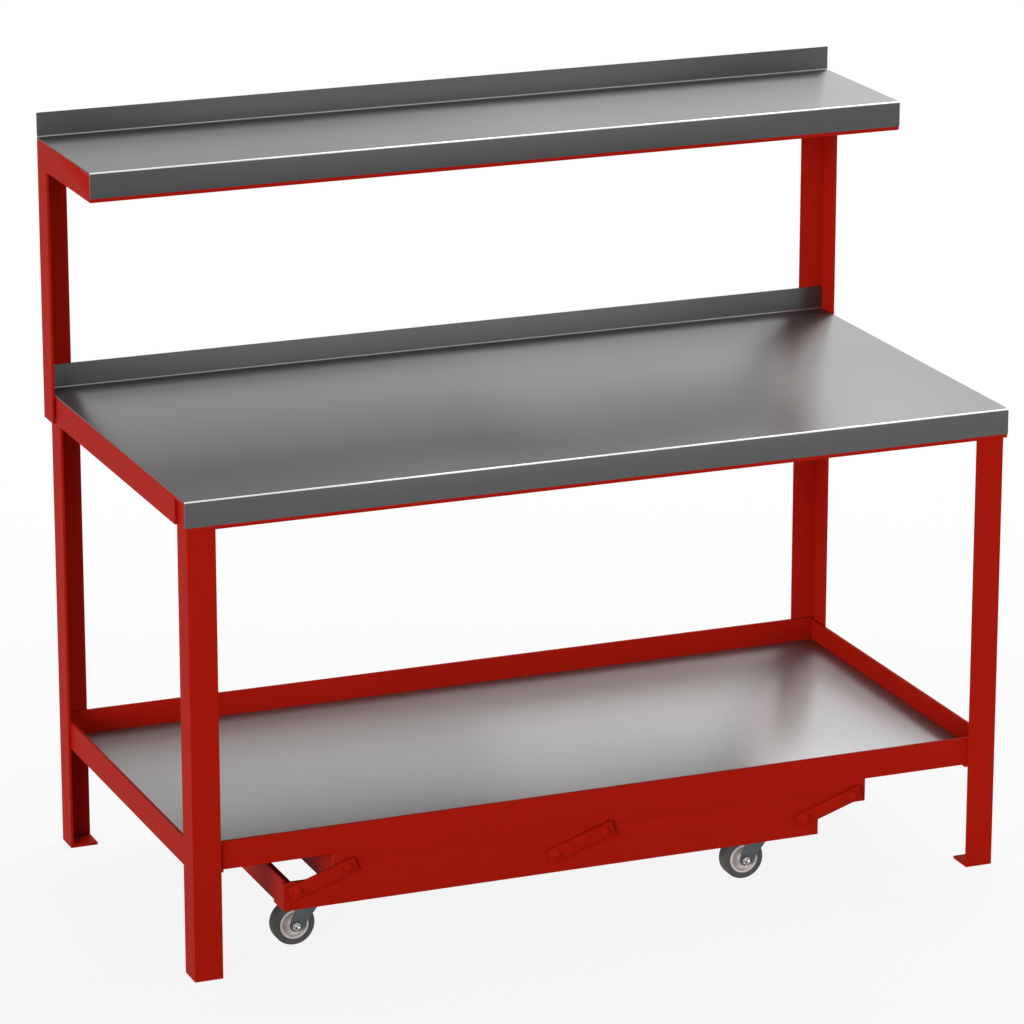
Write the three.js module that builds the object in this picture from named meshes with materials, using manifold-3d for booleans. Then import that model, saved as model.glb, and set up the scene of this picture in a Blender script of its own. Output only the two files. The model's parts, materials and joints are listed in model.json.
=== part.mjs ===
import * as THREE from 'three';
import { mergeVertices } from 'three/addons/utils/BufferGeometryUtils.js';
import Module from 'manifold-3d';

const wasm = await Module();
wasm.setup();

// A steel workbench with an upper shelf, a tray near the floor and a lifting frame on four
// swivel casters. Millimetres, +Z up, front towards -Y, origin on the floor under its middle.
// The casters are shown raised, so that the bench stands on its four feet.

// Overall sizes
const benchWidth = 1500;
const benchDepth = 750;
const benchHeight = 840;
const shelfHeight = 1290;
const shelfDepth = 300;
const trayRailTop = 242.5;

// Angle stock and folded sheet
const angleLeg = 50;
const angleWall = 5;
const skirtLeg = 40;
const crossLeg = 60;
const rightCrossLeg = 35;
const crossFlange = 40;
const topSheet = 2;
const traySheet = 1.5;
const foldHeight = 45;
const bendRadius = 2;
const footWall = 5;

// Lifting frame and its links
const liftInset = 255;
const liftGap = 0.5;
const pivotInset = 25;
const pivotAboveEdge = 14.5;
const linkReach = 90;
const linkDrop = 30;
const linkWidth = 25;
const linkWall = 5;
const linkOverhang = 15;
const linkGap = 0.3;
const studRadius = 6;
const studHeadRadius = 8;
const studHeadHeight = 4;
const studNutRadius = 10;
const studNutHeight = 6;
const runningClearance = 0.15;

// Where the casters sit on the lifting frame
const swivelInset = 76;
const swivelDepth = 90;
const tabLength = 118;
const tabInset = 12;

// Caster top plate, its screws and king pin
const casterHeight = 95;
const casterTrail = 30;
const plateLength = 76;
const plateDepth = 56;
const plateWall = 3;
const plateCorner = 6;
const screwInset = 9;
const screwHeadRadius = 5.5;
const screwHeadHeight = 4;
const raceRadius = 23;
const raceHeight = 3.5;
const raceGap = 0.3;
const kingPinRadius = 6;
const kingPinHeadRadius = 9;
const kingPinHeadHeight = 3.5;

// Caster fork
const forkRaceHeight = 3;
const forkWall = 2.5;
const forkInnerWidth = 30;
const forkBend = 3.5;
const crownLead = 25.5;
const crownTrail = 20.5;
const forkFootLow = 12;
const forkFootBack = 9.5;
const forkFootAhead = 17;

// Caster wheel and axle
const wheelRadius = 37.5;
const tyreWidth = 25;
const tyreShoulder = 5;
const tyreSeatGap = 0.3;
const hubRadius = 25.75;
const hubWidth = 28.4;
const hubRim = 3.75;
const hubWeb = 9;
const dishDepth = 1.5;
const bossRadius = 8.5;
const bossSideGap = 0.2;
const axleRadius = 4;
const axleClearance = 0.3;
const axleNutRadius = 7.5;
const axleNutHeight = 6;
const axleHeadHeight = 5.3;
const axleEnd = 2;

// Overrun of every cut
const overrun = 10;

// How finely round shapes are cut
const roundSides = 16;
const wheelSides = 32;
const bendSteps = 3;

const paint = { color: 0xa21c12, roughness: 0.34, metalness: 0 };
const bareSheet = { color: 0x8e8e8e, roughness: 0.38, metalness: 0.9 };
const plated = { color: 0x9a9a98, roughness: 0.35, metalness: 0.9 };
const forkSteel = { color: 0x50565a, roughness: 0.4, metalness: 0.7 };
const hubPlastic = { color: 0x8f8b8a, roughness: 0.5, metalness: 0 };
const rubber = { color: 0x454342, roughness: 0.75, metalness: 0 };

// Adds one named mesh with a material of its own.
function addMesh(parent, name, geometry, look, x = 0, y = 0, z = 0) {
  const mesh = new THREE.Mesh(geometry, new THREE.MeshStandardMaterial(look));
  mesh.name = name;
  mesh.position.set(x, y, z);
  parent.add(mesh);
}

function addGroup(parent, x = 0, y = 0, z = 0) {
  const group = new THREE.Group();
  group.position.set(x, y, z);
  parent.add(group);
  return group;
}

function polygon(points) {
  return new THREE.Shape(points.map(([u, v]) => new THREE.Vector2(u, v)));
}

// Extrudes a shape along one axis between two places. The shape lies in (x, y) for an extrusion
// along z, in (y, z) along x and in (x, z) along y.
function prism(axis, shape, from, to) {
  const settings = { depth: Math.abs(to - from), bevelEnabled: false, curveSegments: bendSteps };
  const geometry = new THREE.ExtrudeGeometry(shape, settings);
  const alongX = new THREE.Vector3(1, 0, 0);
  const alongY = new THREE.Vector3(0, 1, 0);
  const alongZ = new THREE.Vector3(0, 0, 1);
  if (axis === 'y') {
    geometry.translate(0, 0, -Math.max(from, to));
    return geometry.applyMatrix4(new THREE.Matrix4().makeBasis(alongX, alongZ, alongY.negate()));
  }
  geometry.translate(0, 0, Math.min(from, to));
  if (axis === 'x') {
    geometry.applyMatrix4(new THREE.Matrix4().makeBasis(alongY, alongZ, alongX));
  }
  return geometry;
}

// An L section whose outer corner is at zero. Each leg's sign says which way it points.
function angleShape(legU, legV, wall = angleWall) {
  const wallU = Math.sign(legU) * wall;
  const wallV = Math.sign(legV) * wall;
  return polygon([[0, 0], [legU, 0], [legU, wallV], [wallU, wallV], [wallU, legV], [0, legV]]);
}

// A round or hexagonal bar along one axis, through (u, v) of the plane that prism uses.
function rod(axis, u, v, radius, from, to, sides = roundSides) {
  const points = [];
  for (let i = 0; i < sides; i += 1) {
    const turn = (2 * Math.PI * i) / sides;
    points.push([u + radius * Math.cos(turn), v + radius * Math.sin(turn)]);
  }
  return prism(axis, polygon(points), from, to);
}

// Turns a closed geometry into a solid for joins and cuts.
function solid(geometry) {
  const bare = geometry.clone();
  bare.deleteAttribute('normal');
  bare.deleteAttribute('uv');
  const welded = mergeVertices(bare);
  return new wasm.Manifold(new wasm.Mesh({
    numProp: 3,
    vertProperties: new Float32Array(welded.attributes.position.array),
    triVerts: new Uint32Array(welded.index.array),
  }));
}

function joined(geometries) {
  return geometries.map(solid).reduce((all, next) => all.add(next));
}

function geometryOf(body) {
  const mesh = body.getMesh();
  const geometry = new THREE.BufferGeometry();
  geometry.setAttribute('position', new THREE.BufferAttribute(mesh.vertProperties, 3));
  geometry.setIndex(new THREE.BufferAttribute(mesh.triVerts, 1));
  geometry.computeVertexNormals();
  return geometry;
}

// Spins a closed profile of [radius, place along the axis] points about +Y.
function turned(profile, sides) {
  const closed = [...profile, profile[0]].map(([r, along]) => new THREE.Vector2(r, along));
  return new THREE.LatheGeometry(closed, sides);
}

// Places worked out from the sizes above. Heights are from the floor, the rest from the middle.
const halfWidth = benchWidth / 2;
const halfDepth = benchDepth / 2;
const railTop = benchHeight - topSheet;
const railBottom = railTop - angleLeg;
const legTop = railTop - angleWall;
const legX = halfWidth - angleWall;
const legY = halfDepth - angleWall;
const shelfRailTop = shelfHeight - topSheet;
const trayX = legX - angleWall;
const trayY = legY - angleWall;
const trayRailBottom = trayRailTop - angleLeg;
const skirtBottom = trayRailBottom - skirtLeg;
const liftRailBottom = skirtBottom - liftGap - angleLeg;
const pivotHeight = skirtBottom + pivotAboveEdge;
const liftPivotHeight = pivotHeight - linkDrop - liftRailBottom;
const halfLift = halfWidth - liftInset;
const pivotSpacing = halfLift - pivotInset;

const sides = [['left', -1], ['right', 1]];
const ends = [['front', -1], ['rear', 1]];
const linkPlaces = [['left', -pivotSpacing], ['middle', 0], ['right', pivotSpacing]];

const object = new THREE.Group();

// The sheet's front lip and the risers' back flanges reach past the rails, so the bench is
// moved by half the difference to stand centred on the origin.
const bench = addGroup(object, 0, (topSheet - angleWall) / 2, 0);

// Four legs of angle, corner outwards, with a square plate in each foot
for (const [endName, end] of ends) {
  for (const [sideName, side] of sides) {
    const leg = prism('z', angleShape(-side * angleLeg, -end * angleLeg), 0, legTop);
    addMesh(bench, `leg_${endName}_${sideName}`, leg, paint, side * legX, end * legY, 0);
    const footSide = angleLeg - angleWall;
    const plate = new THREE.BoxGeometry(footSide, footSide, footWall);
    const footX = side * (legX - angleWall - footSide / 2);
    const footY = end * (legY - angleWall - footSide / 2);
    addMesh(bench, `foot_${endName}_${sideName}`, plate, paint, footX, footY, footWall / 2);
  }
}

// Worktop frame: front and rear rails run the full width, and the side rails fit between them
for (const [endName, end] of ends) {
  const rail = prism('x', angleShape(-end * angleLeg, -angleLeg), -halfWidth, halfWidth);
  addMesh(bench, `worktop_rail_${endName}`, rail, paint, 0, end * halfDepth, railTop);
}
for (const [sideName, side] of sides) {
  const sideEnd = halfDepth - angleLeg;
  const rail = prism('y', angleShape(-side * angleLeg, -angleLeg), -sideEnd, sideEnd);
  addMesh(bench, `worktop_rail_${sideName}`, rail, paint, side * halfWidth, 0, railTop);
}

// A sheet folded down tight over the front rail and up at the rear. Front and back are the
// faces of the frame that it covers.
function foldedSheet(width, front, back, top) {
  const under = top - topSheet;
  const bendY = back - topSheet - bendRadius;
  const bendZ = top + bendRadius;
  const quarter = Math.PI / 2;
  const shape = new THREE.Shape();
  shape.moveTo(front, top - foldHeight);
  shape.lineTo(front - topSheet, top - foldHeight);
  shape.lineTo(front - topSheet, under);
  shape.absarc(front, under, topSheet, 2 * quarter, quarter, true);
  shape.lineTo(bendY, top);
  shape.absarc(bendY, bendZ, bendRadius, -quarter, 0, false);
  shape.lineTo(back - topSheet, under + foldHeight);
  shape.lineTo(back, under + foldHeight);
  shape.absarc(bendY, bendZ, bendRadius + topSheet, 0, -quarter, true);
  shape.lineTo(front, under);
  return prism('x', shape, -width / 2, width / 2);
}

const worktop = foldedSheet(benchWidth, -halfDepth, halfDepth, benchHeight);
addMesh(bench, 'worktop_sheet', worktop, bareSheet);

// Two risers of angle, outside the worktop frame's rear corners, carry the upper shelf
const riserX = halfWidth + angleWall;
const shelfBack = halfDepth + angleWall;
const shelfFront = shelfBack - shelfDepth;
for (const [sideName, side] of sides) {
  const riser = prism('z', angleShape(-side * angleLeg, -angleLeg), railBottom, shelfRailTop);
  addMesh(bench, `riser_${sideName}`, riser, paint, side * riserX, shelfBack, 0);
}

// Shelf frame: a front rail over the full width, side rails from it to the risers, notched to
// pass under the front rail's flat flange, and a rear rail between the risers
const frontShelfRail = prism('x', angleShape(angleLeg, -angleLeg), -riserX, riserX);
addMesh(bench, 'shelf_rail_front', frontShelfRail, paint, 0, shelfFront, shelfRailTop);
const rearEnd = riserX - angleLeg;
const rearShelfRail = prism('x', angleShape(-angleLeg, -angleLeg), -rearEnd, rearEnd);
addMesh(bench, 'shelf_rail_rear', rearShelfRail, paint, 0, shelfBack, shelfRailTop);
for (const [sideName, side] of sides) {
  const length = shelfDepth - angleLeg - angleWall;
  const rail = prism('y', angleShape(-side * angleLeg, -angleLeg), 0, length);
  const notchHalf = angleLeg + overrun;
  const notchShape = polygon([
    [-notchHalf, -angleWall],
    [notchHalf, -angleWall],
    [notchHalf, overrun],
    [-notchHalf, overrun],
  ]);
  const notch = prism('y', notchShape, -overrun, angleLeg - angleWall);
  const cut = geometryOf(solid(rail).subtract(solid(notch)));
  addMesh(bench, `shelf_rail_${sideName}`, cut, paint, side * riserX, shelfFront + angleWall,
    shelfRailTop);
}
const shelf = foldedSheet(2 * riserX, shelfFront, shelfBack, shelfHeight);
addMesh(bench, 'shelf_sheet', shelf, bareSheet);

// Tray: front and rear rails lie on the flat flanges of the side rails, inside the legs
for (const [endName, end] of ends) {
  const railEnd = trayX - angleWall;
  const rail = prism('x', angleShape(-end * angleLeg, angleLeg), -railEnd, railEnd);
  addMesh(bench, `tray_rail_${endName}`, rail, paint, 0, end * trayY, trayRailBottom);
}
for (const [sideName, side] of sides) {
  const rail = prism('y', angleShape(-side * angleLeg, angleLeg), -trayY, trayY);
  const height = trayRailBottom - angleWall;
  addMesh(bench, `tray_rail_${sideName}`, rail, paint, side * trayX, 0, height);
}
const trayLength = 2 * (trayX - angleWall);
const trayDepth = 2 * (trayY - angleWall);
const trayFloor = new THREE.BoxGeometry(trayLength, trayDepth, traySheet);
const trayFloorHeight = trayRailBottom + angleWall + traySheet / 2;
addMesh(bench, 'tray_sheet', trayFloor, bareSheet, 0, 0, trayFloorHeight);

// Cuts a round hole for each of a row of studs through the wall whose outer face is at zero.
function drilled(body, places, height, end) {
  const radius = studRadius + runningClearance;
  const holes = places.map((x) =>
    rod('y', x, height, radius, end * overrun, -end * (angleWall + overrun)));
  return holes.reduce((left, hole) => left.subtract(solid(hole)), body);
}

// Fixed skirts under the tray's front and rear rails hold the links' upper studs
const pivotPlaces = linkPlaces.map(([, x]) => x);
for (const [endName, end] of ends) {
  const angle = prism('x', angleShape(-end * skirtLeg, -skirtLeg), -halfLift, halfLift);
  const holeHeight = pivotAboveEdge - skirtLeg;
  const skirt = geometryOf(drilled(solid(angle), pivotPlaces, holeHeight, end));
  addMesh(bench, `skirt_${endName}`, skirt, paint, 0, end * trayY, trayRailBottom);
}

// Fixed cross members join the skirts under their flat flanges. The right one stays as high as
// the skirts' lower edges, so nothing shows under them beside the lifting frame. Their ends stay
// clear of the lifting frame's rails, which slide past them.
const crossReach = trayY - angleWall - liftGap;
for (const [sideName, side] of sides) {
  const leg = sideName === 'left' ? crossLeg : rightCrossLeg;
  const shape = angleShape(-side * crossFlange, -leg);
  const bar = prism('y', shape, -crossReach, crossReach);
  const height = trayRailBottom - angleWall;
  addMesh(bench, `cross_member_${sideName}`, bar, paint, side * halfLift, 0, height);
}

// The lifting frame hangs a link's reach to the left while the casters are raised
const lift = addGroup(bench, -linkReach, 0, liftRailBottom);

// Its front and rear rails have a tab at each end for the caster's top plate
for (const [endName, end] of ends) {
  const parts = [prism('x', angleShape(-end * angleLeg, angleLeg), -halfLift, halfLift)];
  const tabReach = swivelDepth + plateDepth / 2;
  for (const [, side] of sides) {
    const tab = polygon([[0, 0], [-end * tabReach, 0], [-end * tabReach, angleWall], [0, angleWall]]);
    const tabEnd = halfLift - tabInset;
    parts.push(prism('x', tab, side * (tabEnd - tabLength), side * tabEnd));
  }
  const rail = drilled(joined(parts), pivotPlaces, liftPivotHeight, end);
  addMesh(lift, `lift_rail_${endName}`, geometryOf(rail), paint, 0, end * trayY, 0);
}
for (const [sideName, side] of sides) {
  const bar = prism('y', angleShape(-side * angleLeg, angleLeg), -crossReach, crossReach);
  addMesh(lift, `lift_cross_${sideName}`, bar, paint, side * halfLift, 0, angleWall);
}

// A link's bar with its two studs, about its upper pivot. Outside the bench is end's way.
function linkGeometry(end) {
  const length = Math.hypot(linkReach, linkDrop);
  const alongX = -linkReach / length;
  const alongZ = -linkDrop / length;
  const halfBar = linkWidth / 2;
  const corner = (along, across) => [
    along * alongX - across * alongZ,
    along * alongZ + across * alongX,
  ];
  const bar = polygon([
    corner(-linkOverhang, -halfBar),
    corner(length + linkOverhang, -halfBar),
    corner(length + linkOverhang, halfBar),
    corner(-linkOverhang, halfBar),
  ]);
  const barFace = linkGap + linkWall;
  const nutFace = -angleWall - linkGap;
  const headTop = end * (barFace + studHeadHeight);
  const nutEnd = end * (nutFace - studNutHeight);
  const parts = [prism('y', bar, end * linkGap, end * barFace)];
  for (const along of [0, length]) {
    const [x, z] = corner(along, 0);
    parts.push(rod('y', x, z, studHeadRadius, end * linkGap, headTop));
    parts.push(rod('y', x, z, studRadius, end * barFace, nutEnd));
    parts.push(rod('y', x, z, studNutRadius, end * nutFace, nutEnd));
  }
  return geometryOf(joined(parts));
}

for (const [endName, end] of ends) {
  for (const [place, x] of linkPlaces) {
    addMesh(bench, `link_${endName}_${place}`, linkGeometry(end), paint, x, end * trayY, pivotHeight);
  }
}

// Caster places, from its mounting face down
const raceBottom = -plateWall - raceHeight;
const forkTop = raceBottom - raceGap;
const crownTop = forkTop - forkRaceHeight;
const crownBottom = crownTop - forkWall;
const pinHeadTop = crownBottom - raceGap;
const axleDrop = casterHeight - wheelRadius;
const forkHalf = forkInnerWidth / 2 + forkWall;

// Top plate with rounded corners, four screw heads, the fixed race and the king pin
function plateGeometry() {
  const halfLength = plateLength / 2;
  const halfPlate = plateDepth / 2;
  const insetX = halfLength - plateCorner;
  const insetY = halfPlate - plateCorner;
  const quarter = Math.PI / 2;
  const outline = new THREE.Shape();
  outline.absarc(insetX, insetY, plateCorner, 0, quarter, false);
  outline.absarc(-insetX, insetY, plateCorner, quarter, 2 * quarter, false);
  outline.absarc(-insetX, -insetY, plateCorner, 2 * quarter, 3 * quarter, false);
  outline.absarc(insetX, -insetY, plateCorner, 3 * quarter, 4 * quarter, false);
  const pinBottom = pinHeadTop - kingPinHeadHeight;
  const parts = [
    prism('z', outline, -plateWall, 0),
    rod('z', 0, 0, raceRadius, raceBottom, -plateWall / 2),
    rod('z', 0, 0, kingPinRadius, pinBottom, raceBottom / 2),
    rod('z', 0, 0, kingPinHeadRadius, pinBottom, pinHeadTop),
  ];
  for (const side of [-1, 1]) {
    for (const end of [-1, 1]) {
      const x = side * (halfLength - screwInset);
      const y = end * (halfPlate - screwInset);
      const bottom = -plateWall - screwHeadHeight;
      parts.push(rod('z', x, y, screwHeadRadius, bottom, -plateWall / 2, 6));
    }
  }
  return geometryOf(joined(parts));
}

// Pressed fork: a bent channel trimmed to the cheeks' outline, with the lower race on its crown
function forkGeometry() {
  const low = -axleDrop - forkFootLow;
  const quarter = Math.PI / 2;
  const innerHalf = forkInnerWidth / 2;
  const innerBend = forkBend - forkWall;
  const channel = new THREE.Shape();
  channel.moveTo(-forkHalf, low - overrun);
  channel.absarc(-forkHalf + forkBend, crownTop - forkBend, forkBend, 2 * quarter, quarter, true);
  channel.absarc(forkHalf - forkBend, crownTop - forkBend, forkBend, quarter, 0, true);
  channel.lineTo(forkHalf, low - overrun);
  channel.lineTo(innerHalf, low - overrun);
  channel.absarc(forkHalf - forkBend, crownTop - forkBend, innerBend, 0, quarter, false);
  channel.absarc(-forkHalf + forkBend, crownTop - forkBend, innerBend, quarter, 2 * quarter, false);
  channel.lineTo(-innerHalf, low - overrun);
  const cheek = new THREE.Shape();
  cheek.moveTo(-crownTrail, crownTop);
  cheek.lineTo(-casterTrail - forkFootBack, -axleDrop);
  cheek.quadraticCurveTo(-casterTrail - forkFootBack, low, -casterTrail, low);
  cheek.lineTo(-casterTrail + forkFootAhead, low);
  cheek.lineTo(crownLead, crownTop);
  const reach = casterTrail + crownLead + overrun;
  const width = forkHalf + overrun;
  const pinHole = rod('z', 0, 0, kingPinRadius + runningClearance, crownBottom - overrun,
    forkTop + overrun);
  const axleHole = rod('y', -casterTrail, -axleDrop, axleRadius + axleClearance, -width, width);
  const body = solid(prism('x', channel, -reach, reach))
    .intersect(solid(prism('y', cheek, -width, width)))
    .add(solid(rod('z', 0, 0, raceRadius, crownTop - forkWall / 2, forkTop)))
    .subtract(solid(pinHole))
    .subtract(solid(axleHole));
  return geometryOf(body);
}

// Tyre with round shoulders, about the wheel's own axis
function tyreGeometry() {
  const half = tyreWidth / 2;
  const inner = hubRadius + tyreSeatGap;
  const shoulderR = wheelRadius - tyreShoulder;
  const shoulderY = half - tyreShoulder;
  const profile = [[inner, -half]];
  for (let i = 0; i <= bendSteps; i += 1) {
    const turn = (Math.PI / 2) * (i / bendSteps - 1);
    profile.push([
      shoulderR + tyreShoulder * Math.cos(turn),
      -shoulderY + tyreShoulder * Math.sin(turn),
    ]);
  }
  for (let i = 0; i <= bendSteps; i += 1) {
    const turn = (Math.PI / 2) * (i / bendSteps);
    profile.push([
      shoulderR + tyreShoulder * Math.cos(turn),
      shoulderY + tyreShoulder * Math.sin(turn),
    ]);
  }
  profile.push([inner, half]);
  return turned(profile, wheelSides);
}

// Hub with a rim ring, a dished web and a boss that runs on the axle
function hubGeometry() {
  const bore = axleRadius + runningClearance;
  const halfRim = hubWidth / 2;
  const halfBoss = forkInnerWidth / 2 - bossSideGap;
  const halfWeb = hubWeb / 2;
  const face = [
    [hubRadius, halfRim],
    [hubRadius - hubRim, halfRim],
    [hubRadius - hubRim, halfWeb + dishDepth],
    [bossRadius, halfWeb],
    [bossRadius, halfBoss],
    [bore, halfBoss],
  ];
  const mirrored = face.map(([r, along]) => [r, -along]).reverse();
  return turned([...mirrored, ...face], wheelSides);
}

// Axle bolt from cheek to cheek, with its nut on the outside of the bench
function axleGeometry(end) {
  const nutEnd = forkHalf + axleNutHeight;
  const headEnd = forkHalf + axleHeadHeight;
  return geometryOf(joined([
    rod('y', 0, 0, axleRadius, end * (nutEnd + axleEnd), -end * headEnd),
    rod('y', 0, 0, axleNutRadius, end * forkHalf, end * nutEnd, 6),
    rod('y', 0, 0, axleNutRadius, -end * forkHalf, -end * headEnd, 6),
  ]));
}

// One caster under each end of the front and rear lift rails, all trailing to the left
for (const [endName, end] of ends) {
  for (const [sideName, side] of sides) {
    const x = side * (halfLift - swivelInset);
    const y = end * (trayY - swivelDepth);
    const caster = addGroup(lift, x, y, 0);
    const place = `${endName}_${sideName}`;
    addMesh(caster, `caster_plate_${place}`, plateGeometry(), plated);
    addMesh(caster, `caster_fork_${place}`, forkGeometry(), forkSteel);
    const wheel = addGroup(caster, -casterTrail, 0, -axleDrop);
    addMesh(wheel, `caster_tyre_${place}`, tyreGeometry(), rubber);
    addMesh(wheel, `caster_hub_${place}`, hubGeometry(), hubPlastic);
    addMesh(wheel, `caster_axle_${place}`, axleGeometry(end), plated);
  }
}

export default object;
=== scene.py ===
import json
import math

import bmesh
import bpy
from mathutils import Matrix, Vector


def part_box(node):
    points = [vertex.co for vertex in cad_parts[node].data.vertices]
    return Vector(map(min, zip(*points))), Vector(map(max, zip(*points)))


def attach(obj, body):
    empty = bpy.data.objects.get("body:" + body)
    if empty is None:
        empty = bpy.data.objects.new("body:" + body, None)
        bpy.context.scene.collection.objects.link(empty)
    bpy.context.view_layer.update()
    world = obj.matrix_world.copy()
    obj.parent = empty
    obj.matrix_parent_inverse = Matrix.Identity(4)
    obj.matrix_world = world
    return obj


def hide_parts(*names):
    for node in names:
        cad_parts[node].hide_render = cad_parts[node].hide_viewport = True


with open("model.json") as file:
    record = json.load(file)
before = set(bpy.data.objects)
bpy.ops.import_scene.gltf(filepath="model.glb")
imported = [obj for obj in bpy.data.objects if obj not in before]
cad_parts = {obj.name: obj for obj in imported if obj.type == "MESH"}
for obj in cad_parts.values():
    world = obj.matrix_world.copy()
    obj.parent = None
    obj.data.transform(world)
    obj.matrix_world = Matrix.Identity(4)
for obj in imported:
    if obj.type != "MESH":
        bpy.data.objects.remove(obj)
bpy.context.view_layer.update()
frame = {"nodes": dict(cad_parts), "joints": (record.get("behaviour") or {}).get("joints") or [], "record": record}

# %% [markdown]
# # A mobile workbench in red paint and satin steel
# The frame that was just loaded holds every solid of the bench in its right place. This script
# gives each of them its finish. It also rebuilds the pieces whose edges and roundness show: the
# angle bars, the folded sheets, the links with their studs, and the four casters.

MM = 0.001

# %% [markdown]
# ## The camera
# The photograph was taken from the front, a little to the left and well above the bench, with
# a long lens. A long lens far away keeps the legs nearly upright, so the place and the lens go
# together: from nearer, with a shorter one, the legs would draw together at their feet.

# %% Camera
CAMERA_PLACE = Vector((-3.2405, -7.9113, 3.2127))
CAMERA_TURN = math.radians(22.134)
CAMERA_DIP = math.radians(16.789)
LENS = 179.17

camera_data = bpy.data.cameras.new("camera")
camera_data.lens = LENS
camera_data.sensor_width = 36
camera_data.clip_end = 100
camera = bpy.data.objects.new("camera", camera_data)
camera.location = CAMERA_PLACE
camera.rotation_euler = (math.pi / 2 - CAMERA_DIP, 0, -CAMERA_TURN)
bpy.context.scene.collection.objects.link(camera)
bpy.context.scene.camera = camera
print("camera at", [round(c, 2) for c in CAMERA_PLACE], "with a", LENS, "mm lens")

# %% [markdown]
# ## Helpers for finishes
# Every finish is a node tree. One function turns a colour written as hex into the linear
# values that a shader wants, and one adds a node with its settings and links. The others are
# short names for the few nodes that nearly every finish uses: noise of a given size, a colour
# or a value that follows it, and a bump. All of them are laid out in object coordinates, so a
# pattern keeps its real size and moves with its piece.


# %% Node helpers
def linear(colour):
    """A hex colour as the linear RGBA that shader sockets hold."""
    channels = [int(colour[i:i + 2], 16) / 255 for i in (1, 3, 5)]
    return [c / 12.92 if c <= 0.04045 else ((c + 0.055) / 1.055) ** 2.4 for c in channels] + [1]


def add_node(tree, kind, inputs=None, **settings):
    """Adds a node. A value that is another node's socket is linked, any other is typed in."""
    node = tree.nodes.new(kind)
    for name, value in settings.items():
        setattr(node, name, value)
    for name, value in (inputs or {}).items():
        if isinstance(value, bpy.types.NodeSocket):
            tree.links.new(value, node.inputs[name])
        else:
            node.inputs[name].default_value = value
    return node


def new_finish(name, **values):
    """A material with a Principled shader whose plain values are given by their socket names."""
    material = bpy.data.materials.new(name)
    material.use_nodes = True
    tree = material.node_tree
    shader = tree.nodes["Principled BSDF"]
    for socket, value in values.items():
        shader.inputs[socket.replace("_", " ")].default_value = value
    return material, tree, shader


def feed(tree, shader, **links):
    """Links each value to the shader's socket of that name."""
    for socket, value in links.items():
        tree.links.new(value, shader.inputs[socket.replace("_", " ")])


def object_place(tree):
    """The place on the piece, in metres."""
    return add_node(tree, "ShaderNodeTexCoord").outputs["Object"]


def noise(tree, place, size, detail=2.0):
    """Soft random blobs of about this size, as a share from 0 to 1."""
    return add_node(tree, "ShaderNodeTexNoise", {
        "Vector": place, "Scale": 1 / size, "Detail": detail}).outputs["Fac"]


def mixed_colour(tree, share, first, second):
    """A colour between two. Each is a hex colour or another node's socket."""
    first, second = [linear(c) if isinstance(c, str) else c for c in (first, second)]
    return add_node(tree, "ShaderNodeMix", {0: share, 6: first, 7: second},
                    data_type="RGBA").outputs[2]


def ranged(tree, share, low, high):
    """A value that goes from low to high as the share goes from 0 to 1."""
    return add_node(tree, "ShaderNodeMapRange", {
        "Value": share, "To Min": low, "To Max": high}).outputs["Result"]


def bumped(tree, height, strength, depth):
    """The normal of a surface with this relief."""
    return add_node(tree, "ShaderNodeBump", {
        "Height": height, "Strength": strength, "Distance": depth}).outputs["Normal"]


# %% [markdown]
# ## Red powder coat
# The frame's steel angle is sprayed with dry red powder and baked. The melted powder leaves a
# smooth skin with the faintest orange peel, and the red drifts a little where the coat is
# thicker. A slow noise drives that drift, and a finer one the peel. Seen face on the coat is a
# deep plain red, and only at a slant does it pick up the room.

# %% Red powder coat
PEEL_SIZE = 5 * MM  # real peel is about 2 mm, drawn coarser so that it can show
PEEL_DEPTH = 0.05 * MM
DRIFT_SIZE = 260 * MM

powder_coat, tree, shader = new_finish(
    "red_powder_coat", Metallic=0.0, IOR=1.5, Specular_IOR_Level=0.005)
place = object_place(tree)
drift = noise(tree, place, DRIFT_SIZE)
peel = noise(tree, place, PEEL_SIZE)
feed(tree, shader,
     Base_Color=mixed_colour(tree, drift, "#A1180C", "#A81A0E"),
     Roughness=ranged(tree, drift, 0.27, 0.33),
     Normal=bumped(tree, peel, 0.12, PEEL_DEPTH))
print("made", powder_coat.name)

# %% [markdown]
# ## Satin steel sheet
# The worktop, the shelf and the tray are bare cold-rolled steel with a thin dull skin of oxide,
# brushed to a satin along their length. The brushing is far finer than a pixel, so what shows
# is how it blurs reflections: a lot across the lines and little along them, which anisotropy
# gives with its tangent laid along the bench. Noise that is stretched along the sheet varies
# the roughness and the tone a little, and a slow cloud on top of it is what handling leaves.
# Along the round of each fold a highlight is painted into the sheet: a lighter, smoother and more metallic strip,
# full on the front fold and fainter on the rear one. The distance from each fold's line is measured in the nodes,
# so the painted highlight fades out on both sides, and a long noise breaks it up.

# %% Satin steel sheet
LINE_WIDTH = 1.2 * MM  # brushed lines are near 0.1 mm, drawn wider so that they can show
LINE_LENGTH = 180 * MM
CLOUD_SIZE = 300 * MM
CLOUD_ROUGHNESS = 0.04
METAL_SHARE = 0.55  # the rest of the surface is the dull skin
# The highlight painted along the folds: where it is full, how far it reaches, how long its patches are, what its
# weakest stretch keeps, and its colour and roughness.
HIGHLIGHT_NEAR = 1.3 * MM
HIGHLIGHT_FAR = 2.7 * MM
HIGHLIGHT_BREAK_LENGTH = 90 * MM
HIGHLIGHT_LEAST = 0.8  # the share of the shine that the dullest stretch keeps
HIGHLIGHT_COLOUR = "#F0F0F0"
HIGHLIGHT_ROUGHNESS = 0.22


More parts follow.
